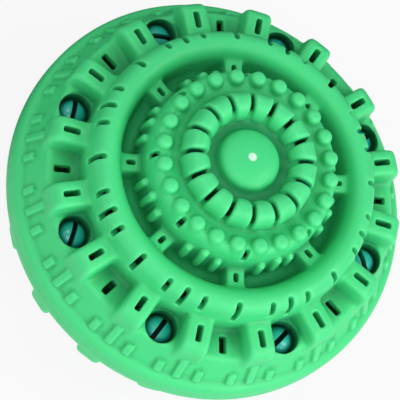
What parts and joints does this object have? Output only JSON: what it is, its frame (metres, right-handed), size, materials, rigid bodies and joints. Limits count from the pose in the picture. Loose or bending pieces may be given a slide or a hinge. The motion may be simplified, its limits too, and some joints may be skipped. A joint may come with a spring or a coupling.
{
  "type": "laundry ball",
  "caption": "Round laundry ball of soft slotted half shells screwed to a hard inner frame, with loose ceramic beads in compartments that wash water reaches through the slots.",
  "frame": {"origin": "centre of the ball, on its axis in the plane of the equator", "axes": "+Z along the ball's axis through the upper crown, +X through a slotted pocket"},
  "size_m": [0.1, 0.1, 0.0742],
  "materials": {
    "shell": "satin moulded soft rubber",
    "screw": "smooth moulded",
    "frame": "moulded",
    "bead": "fired ceramic"
  },
  "bodies": {
    "lower_half": {"lower_shell": "shell", "inner_frame": "frame", "divider_x": "frame", "divider_y": "frame"},
    "upper_half": {"upper_shell": "shell"},
    "upper_screw_1": {"upper_screw_1": "screw"},
    "upper_screw_2": {"upper_screw_2": "screw"},
    "upper_screw_3": {"upper_screw_3": "screw"},
    "upper_screw_4": {"upper_screw_4": "screw"},
    "upper_screw_5": {"upper_screw_5": "screw"},
    "upper_screw_6": {"upper_screw_6": "screw"},
    "upper_screw_7": {"upper_screw_7": "screw"},
    "upper_screw_8": {"upper_screw_8": "screw"},
    "lower_screw_1": {"lower_screw_1": "screw"},
    "lower_screw_2": {"lower_screw_2": "screw"},
    "lower_screw_3": {"lower_screw_3": "screw"},
    "lower_screw_4": {"lower_screw_4": "screw"},
    "lower_screw_5": {"lower_screw_5": "screw"},
    "lower_screw_6": {"lower_screw_6": "screw"},
    "lower_screw_7": {"lower_screw_7": "screw"},
    "lower_screw_8": {"lower_screw_8": "screw"},
    "bead_bed_1": {"bead_1_1": "bead", "bead_1_2": "bead", "bead_1_3": "bead", "bead_1_4": "bead", "bead_1_5": "bead", "bead_1_6": "bead", "bead_1_7": "bead", "bead_1_8": "bead"},
    "bead_bed_2": {"bead_2_1": "bead", "bead_2_2": "bead", "bead_2_3": "bead", "bead_2_4": "bead", "bead_2_5": "bead", "bead_2_6": "bead", "bead_2_7": "bead", "bead_2_8": "bead"},
    "bead_bed_3": {"bead_3_1": "bead", "bead_3_2": "bead", "bead_3_3": "bead", "bead_3_4": "bead", "bead_3_5": "bead", "bead_3_6": "bead", "bead_3_7": "bead", "bead_3_8": "bead"},
    "bead_bed_4": {"bead_4_1": "bead", "bead_4_2": "bead", "bead_4_3": "bead", "bead_4_4": "bead", "bead_4_5": "bead", "bead_4_6": "bead", "bead_4_7": "bead", "bead_4_8": "bead"}
  },
  "joints": [
    {"name": "upper_half_lift", "type": "slide", "parent": "lower_half", "child": "upper_half", "axis": [0, 0, 1], "range_m": [0, 0.045]},
    {"name": "upper_screw_1_turn", "type": "hinge", "parent": "upper_half", "child": "upper_screw_1", "pos_m": [0.03705, 0.01535, 0.0088], "axis": [0, 0, 1], "continuous": true},
    {"name": "upper_screw_2_turn", "type": "hinge", "parent": "upper_half", "child": "upper_screw_2", "pos_m": [0.01535, 0.03705, 0.0088], "axis": [0, 0, 1], "continuous": true},
    {"name": "upper_screw_3_turn", "type": "hinge", "parent": "upper_half", "child": "upper_screw_3", "pos_m": [-0.01535, 0.03705, 0.0088], "axis": [0, 0, 1], "continuous": true},
    {"name": "upper_screw_4_turn", "type": "hinge", "parent": "upper_half", "child": "upper_screw_4", "pos_m": [-0.03705, 0.01535, 0.0088], "axis": [0, 0, 1], "continuous": true},
    {"name": "upper_screw_5_turn", "type": "hinge", "parent": "upper_half", "child": "upper_screw_5", "pos_m": [-0.03705, -0.01535, 0.0088], "axis": [0, 0, 1], "continuous": true},
    {"name": "upper_screw_6_turn", "type": "hinge", "parent": "upper_half", "child": "upper_screw_6", "pos_m": [-0.01535, -0.03705, 0.0088], "axis": [0, 0, 1], "continuous": true},
    {"name": "upper_screw_7_turn", "type": "hinge", "parent": "upper_half", "child": "upper_screw_7", "pos_m": [0.01535, -0.03705, 0.0088], "axis": [0, 0, 1], "continuous": true},
    {"name": "upper_screw_8_turn", "type": "hinge", "parent": "upper_half", "child": "upper_screw_8", "pos_m": [0.03705, -0.01535, 0.0088], "axis": [0, 0, 1], "continuous": true},
    {"name": "lower_screw_1_turn", "type": "hinge", "parent": "lower_half", "child": "lower_screw_1", "pos_m": [0.03705, -0.01535, -0.0088], "axis": [0, 0, -1], "continuous": true},
    {"name": "lower_screw_2_turn", "type": "hinge", "parent": "lower_half", "child": "lower_screw_2", "pos_m": [0.01535, -0.03705, -0.0088], "axis": [0, 0, -1], "continuous": true},
    {"name": "lower_screw_3_turn", "type": "hinge", "parent": "lower_half", "child": "lower_screw_3", "pos_m": [-0.01535, -0.03705, -0.0088], "axis": [0, 0, -1], "continuous": true},
    {"name": "lower_screw_4_turn", "type": "hinge", "parent": "lower_half", "child": "lower_screw_4", "pos_m": [-0.03705, -0.01535, -0.0088], "axis": [0, 0, -1], "continuous": true},
    {"name": "lower_screw_5_turn", "type": "hinge", "parent": "lower_half", "child": "lower_screw_5", "pos_m": [-0.03705, 0.01535, -0.0088], "axis": [0, 0, -1], "continuous": true},
    {"name": "lower_screw_6_turn", "type": "hinge", "parent": "lower_half", "child": "lower_screw_6", "pos_m": [-0.01535, 0.03705, -0.0088], "axis": [0, 0, -1], "continuous": true},
    {"name": "lower_screw_7_turn", "type": "hinge", "parent": "lower_half", "child": "lower_screw_7", "pos_m": [0.01535, 0.03705, -0.0088], "axis": [0, 0, -1], "continuous": true},
    {"name": "lower_screw_8_turn", "type": "hinge", "parent": "lower_half", "child": "lower_screw_8", "pos_m": [0.03705, 0.01535, -0.0088], "axis": [0, 0, -1], "continuous": true},
    {"name": "bead_bed_1_drop", "type": "slide", "parent": "lower_half", "child": "bead_bed_1", "axis": [0, 0, 1], "range_m": [0, 0.0205]},
    {"name": "bead_bed_2_drop", "type": "slide", "parent": "lower_half", "child": "bead_bed_2", "axis": [0, 0, 1], "range_m": [0, 0.0205]},
    {"name": "bead_bed_3_drop", "type": "slide", "parent": "lower_half", "child": "bead_bed_3", "axis": [0, 0, 1], "range_m": [0, 0.0205]},
    {"name": "bead_bed_4_drop", "type": "slide", "parent": "lower_half", "child": "bead_bed_4", "axis": [0, 0, 1], "range_m": [0, 0.0205]}
  ]
}
